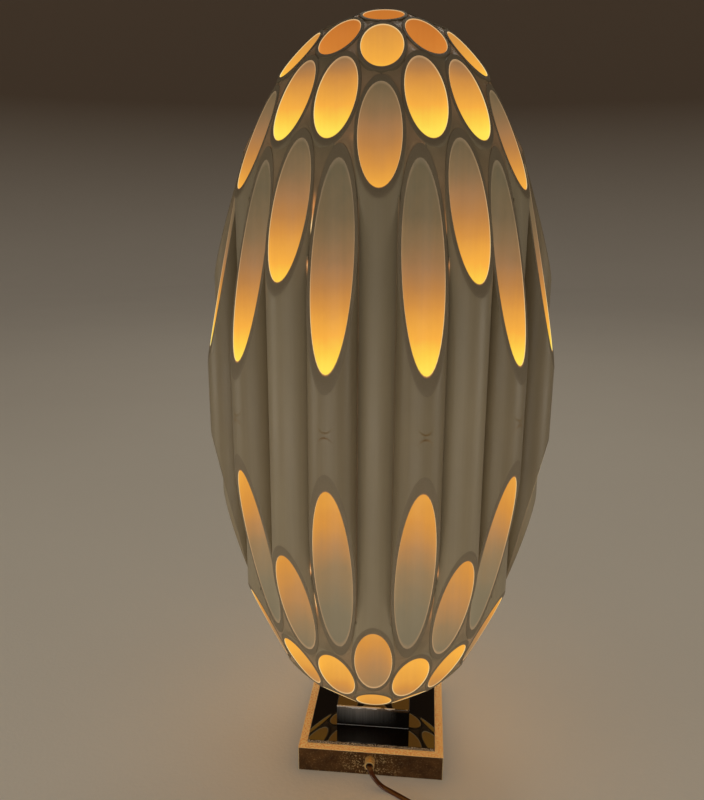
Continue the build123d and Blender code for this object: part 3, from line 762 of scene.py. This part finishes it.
def block_lacquer():
    """Black gloss lacquer over a wooden block, with a ragged painted highlight along its top front edge, a
    painted hazy reflection under it and a painted highlight line along its foot.
    """
    recipe = Recipe("block_lacquer")
    grain = place_group(recipe, GRAIN, Grain_Size=0.0006, Streak_Size=0.0014, Blotch_Size=0.009)
    up = recipe.place("Z")
    front_face = recipe.math("LESS_THAN", recipe.place("Y"), -0.0352)
    along = recipe.math("ABSOLUTE", recipe.math("ADD", recipe.place("X"), 0.014))
    along = recipe.math("MULTIPLY_ADD", along, -26.0, 1.0, clamp=True)
    above = recipe.math("MULTIPLY_ADD", up, 420.0, -21.0)
    above = recipe.math("MULTIPLY_ADD", along, 0.95, above)
    # painted highlight: a ragged pale line along the top front edge, strongest left of the middle
    painted_edge_highlight = recipe.ramp(recipe.math("ADD", grain["Blotch"], above), (0.66, 0.0), (0.80, 1.0))
    # painted reflection: a pale haze down the upper front face
    painted_haze = recipe.math("MULTIPLY_ADD", up, 45.0, -1.35, clamp=True)
    painted_haze = recipe.math("MULTIPLY", painted_haze, recipe.math("MULTIPLY", along, 0.75))
    painted_haze = recipe.math("MULTIPLY", painted_haze, recipe.math("MULTIPLY_ADD", grain["Streak"], 0.3, 0.4))
    # painted highlight: a pale line along the foot of the front face
    foot = recipe.math("MULTIPLY", recipe.math("LESS_THAN", up, 0.0293), 0.6)
    painted_highlights = recipe.math("MAXIMUM", recipe.math("MAXIMUM", painted_edge_highlight, foot), painted_haze)
    painted_highlights = recipe.math("MULTIPLY", painted_highlights, front_face, clamp=True)
    colour = recipe.blend(painted_highlights, tint(18, 17, 16), tint(214, 218, 224))
    rough = recipe.math("MULTIPLY_ADD", painted_highlights, 0.3, 0.05)
    return recipe.finish(colour, rough, height=grain["Grain"], depth=0.000015, IOR=1.6,
                         Specular_IOR_Level=0.7)


dress(frame_brass(), "frame_bar_front", "frame_bar_back", "frame_bar_left", "frame_bar_right")
dress(mirror_acrylic(), "top_panel")
dress(block_lacquer(), "riser_block")


# ---- under the base, and the pipe that clamps it all ----
# A felted steel cover on four wooden corner blocks, a steel ballast disc, and a threaded pipe from
# there up through the block and the egg's middle, with thin nuts, to the lampholder.
def plain_finish(name, first, second, rough, metallic=0.0, grain_size=0.001, depth=0.00003, worn=None,
                 **fixed):
    """A finish of two near colours with grain, blotches and rubbed edges."""
    recipe = Recipe(name)
    grain = place_group(recipe, GRAIN, Grain_Size=grain_size, Streak_Size=grain_size * 3,
                        Blotch_Size=grain_size * 20)
    colour = recipe.blend(grain["Blotch"], first, second)
    roughness = recipe.math("MULTIPLY_ADD", grain["Grain"], rough * 0.5, rough * 0.75)
    if worn:
        wear = place_group(recipe, WEAR, Width=0.0005, Raggedness=1.0)
        colour = recipe.blend(wear["Worn"], colour, worn)
    return recipe.finish(colour, roughness, metallic, height=grain["Grain"], depth=depth, **fixed)


rolled_steel = plain_finish("rolled_steel", tint(112, 110, 106), tint(136, 132, 126), 0.45, 1.0, 0.0015,
                            worn=tint(190, 186, 180))
zinc = plain_finish("zinc_plate", tint(168, 162, 148), tint(186, 180, 164), 0.35, 1.0, 0.0008,
                    worn=tint(226, 220, 206))
dress(rolled_steel, "bottom_cover", "ballast_disc", "clamp_plate")
dress(zinc, "cover_screws", "pipe_nuts", "bushing_nut", "lamp_pipe", "switch_screws", "egg_washer")
dress(plain_finish("sawn_beech", tint(150, 116, 74), tint(176, 140, 94), 0.7, 0.0, 0.0016, 0.0002),
      "corner_blocks")
dress(plain_finish("green_black_felt", tint(30, 38, 32), tint(46, 54, 46), 0.95, 0.0, 0.0005, 0.0004,
                   Sheen_Weight=0.5), "felt_sheet")
dress(plain_finish("clear_acrylic", tint(232, 236, 230), tint(240, 242, 236), 0.06, 0.0, 0.002,
                   Transmission_Weight=0.92, IOR=1.49), "plug_ledge")


# ---- the lampholder and the bulb ----
# A spun brass keyless holder with a fibre liner and phenolic core, and an inside-frosted bulb
# screwed into it, which in the lamp lights the whole bundle from the middle; here it lights only the hollow
# round it.
dress(plain_finish("spun_brass", tint(202, 164, 92), tint(222, 186, 112), 0.25, 1.0, 0.0006,
                   worn=tint(244, 216, 150)), "socket_cap", "socket_shell")
dress(plain_finish("fibre_liner", tint(150, 112, 72), tint(172, 132, 88), 0.8, 0.0, 0.0008, 0.0001),
      "socket_liner")
dress(plain_finish("phenolic", tint(40, 34, 30), tint(52, 44, 38), 0.35, 0.0, 0.001), "socket_core")
dress(plain_finish("rolled_thread", tint(186, 184, 178), tint(206, 202, 194), 0.3, 1.0, 0.0006),
      "socket_screw_shell", "bulb_cap")
dress(plain_finish("contact_brass", tint(206, 172, 100), tint(226, 194, 124), 0.3, 1.0, 0.0006,
                   worn=tint(248, 226, 170)), "socket_contact", "plug_blades")
dress(plain_finish("glowing_filament", tint(230, 190, 130), tint(240, 205, 150), 0.4, 0.0, 0.0008,
                   Emission_Color=tint(255, 205, 140), Emission_Strength=6.0), "bulb_filament")


def frosted_glass():
    """Inside-frosted glass, lit evenly but for faint blotches, with the etch's fine grain."""
    recipe = Recipe("frosted_glass")
    grain = place_group(recipe, GRAIN, Grain_Size=0.0008, Streak_Size=0.004, Blotch_Size=0.02)
    light = recipe.blend(grain["Blotch"], tint(255, 214, 150), tint(255, 224, 168))
    return recipe.finish(tint(250, 244, 230), 0.45, height=grain["Grain"], depth=0.00004,
                         Emission_Color=light, Emission_Strength=6.0)


dress(frosted_glass(), "bulb_glass")


# ---- the cord's way out ----
# A turned brass bushing through the front bar with a black sleeve in it, and two insulated leads
# from there up the pipe.
dress(plain_finish("turned_bushing", tint(244, 208, 138), tint(212, 170, 104), 0.4, 0.35, 0.0007,
                   worn=tint(255, 236, 180)), "cord_bushing")
dress(plain_finish("black_sleeve", tint(18, 17, 16), tint(28, 26, 24), 0.6, 0.0, 0.0006), "bushing_grommet")
dress(plain_finish("lead_vinyl", tint(112, 78, 42), tint(132, 94, 52), 0.45, 0.0, 0.0007), "internal_leads")


# ---- the cord ----
# Flat twin flex, brown-gold vinyl about 5.3 mm across, out of the front bushing, through the
# thumbwheel switch, into a neat tied coil and on to its plug: 1.8 m.
CORD_WIDTH = 0.0053
CORD_THICK = 0.0028
LIE = 0.0015                    # the middle of the flex over the table, lying flat
COIL_CENTRE = (0.040, -0.170)
COIL_OUTER = 0.03845
COIL_INNER = 0.02255


def flex_section():
    """The twin flex cut across: two round cores side by side with a valley between."""
    curve = bpy.data.curves.new("flex_section", "CURVE")
    curve.dimensions = "2D"
    spline = curve.splines.new("POLY")
    round_half = CORD_THICK / 2
    side = CORD_WIDTH / 2 - round_half
    points = []
    for core, first in ((1, -62), (-1, 118)):
        for step in range(9):
            a = math.radians(first + 124 * step / 8)
            points.append((core * side + round_half * math.cos(a), round_half * math.sin(a)))
    spline.points.add(len(points) - 1)
    for point, (x, y) in zip(spline.points, points):
        point.co = (x, y, 0, 1)
    spline.use_cyclic_u = True
    return bpy.data.objects.new("flex_section", curve)


cord_points = [
    (0, -0.0755, 0.0175), (0.0002, -0.0822, 0.0175), (0.0036, -0.0860, 0.0134),
    (0.0080, -0.0872, 0.0078), (0.0138, -0.0884, 0.0030), (0.0222, -0.0916, LIE),
    (0.0308, -0.0968, LIE), (0.0412, -0.1034, LIE), (0.0540, -0.1106, LIE),
    (0.0660, -0.1184, 0.0024), (0.08128, -0.12981, 0.0050),
    (0.1034, -0.1453, 0.0050), (0.12551, -0.16078, 0.0050), (0.1345, -0.1695, 0.0026),
    (0.1425, -0.1790, LIE), (0.1470, -0.1900, LIE), (0.1460, -0.2015, LIE), (0.1385, -0.2105, LIE),
    (0.1270, -0.2145, LIE), (0.1120, -0.2145, LIE), (0.0940, -0.2115, LIE), (0.0750, -0.2080, LIE),
    (0.0570, -0.2082, LIE)]
COIL_LIE = 0.0020               # the coil's lower turns, lying on the strap of its tie
LAYER = 0.0029
TURN_STEPS = 14
COIL_TURNS = 7 + 20 / 360
LOOSE_BY = 0.0003
loose = random.Random(4)
for step in range(round(COIL_TURNS * TURN_STEPS) + 1):
    turned = step / TURN_STEPS
    if turned < 1:
        radius, height = COIL_OUTER, COIL_LIE
    elif turned < 4:
        radius, height = COIL_OUTER - (turned - 1) * (COIL_OUTER - COIL_INNER) / 3, COIL_LIE
    else:
        radius, height = COIL_INNER + (turned - 4) * (COIL_OUTER - COIL_INNER) / 3.06, COIL_LIE + LAYER
    if 3.7 < turned < 4.0:
        height = COIL_LIE + LAYER * (turned - 3.7) / 0.3
    radius += loose.uniform(-LOOSE_BY, LOOSE_BY)
    angle = math.radians(-92) - 2 * math.pi * turned
    cord_points.append((COIL_CENTRE[0] + radius * math.cos(angle),
                        COIL_CENTRE[1] + radius * math.sin(angle), height))
cord_points += [
    (0.0140, -0.1996, 0.0044), (0.0025, -0.1932, 0.0030), (-0.0080, -0.1878, 0.0036),
    (-0.01653, -0.18436, 0.0066), (-0.02395, -0.18137, 0.0075)]
curve = bpy.data.curves.new("flex", "CURVE")
curve.dimensions = "3D"
curve.twist_mode = "Z_UP"
curve.bevel_mode = "OBJECT"
curve.bevel_object = flex_section()
curve.use_fill_caps = True
curve.resolution_u = 6
spline = curve.splines.new("NURBS")
spline.points.add(len(cord_points) - 1)
for point, place in zip(spline.points, cord_points):
    point.co = (*place, 1)
spline.order_u = 3
spline.use_endpoint_u = True
flex = bpy.data.objects.new("flex", curve)
scene.collection.objects.link(flex)


def flex_vinyl():
    """Brown-gold translucent vinyl over two stranded copper cores."""
    recipe = Recipe("flex_vinyl")
    grain = place_group(recipe, GRAIN, Grain_Size=0.0006, Streak_Size=0.002, Blotch_Size=0.02)
    colour = recipe.blend(grain["Blotch"], tint(84, 44, 22), tint(108, 60, 30))
    return recipe.finish(colour, 0.22, height=grain["Grain"], depth=0.00002, Coat_Weight=0.6)


curve.materials.append(flex_vinyl())


def coil_tie(angle):
    """A flat black strap round the coil's turns, at an angle round the coil."""
    inner, outer, foot, head = COIL_INNER - 0.0036, COIL_OUTER + 0.0036, 0.0002, 0.0072
    corner, width, thickness = 0.0022, 0.0042, 0.0004
    loop = []
    for cr, cz, first in ((outer - corner, head - corner, 0), (inner + corner, head - corner, 90),
                          (inner + corner, foot + corner, 180), (outer - corner, foot + corner, 270)):
        for step in range(7):
            a = math.radians(first + 15 * step)
            loop.append((cr + corner * math.cos(a), cz + corner * math.sin(a), math.cos(a), math.sin(a)))
    bm = bmesh.new()
    along = Vector((-math.sin(angle), math.cos(angle), 0))
    out = Vector((math.cos(angle), math.sin(angle), 0))
    middle = Vector((*COIL_CENTRE, 0))
    rows = []
    for r, z, nr, nz in loop:
        row = []
        for across, thick in ((-1, 0), (1, 0), (1, 1), (-1, 1)):
            place = middle + out * (r - nr * thickness * thick) + along * across * width / 2
            row.append(bm.verts.new(place + Vector((0, 0, z - nz * thickness * thick))))
        rows.append(row)
    for k, row in enumerate(rows):
        following = rows[(k + 1) % len(rows)]
        for n in range(4):
            bm.faces.new((row[n], row[(n + 1) % 4], following[(n + 1) % 4], following[n])).smooth = True
    bmesh.ops.recalc_face_normals(bm, faces=bm.faces)
    mesh = bpy.data.meshes.new("coil_tie")
    bm.to_mesh(mesh)
    bm.free()
    mesh.set_sharp_from_angle(angle=math.radians(40))
    mesh.materials.append(plain_finish("strap_vinyl", tint(26, 24, 22), tint(36, 33, 30), 0.5, 0.0, 0.0005,
                                       0.00008))
    return link_piece("coil_tie", mesh, "lamp", "grommet_rubber")


coil_tie(math.radians(60))
dress(plain_finish("moulded_brown", tint(88, 56, 32), tint(104, 68, 40), 0.35, 0.0, 0.0009,
                   worn=tint(140, 98, 62)), "plug_body", "switch_case_top", "switch_case_bottom",
      "switch_wheel")
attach(flex, "lamp")
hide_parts("cord_to_switch", "cord_to_coil", "cord_coil", "cord_to_plug")
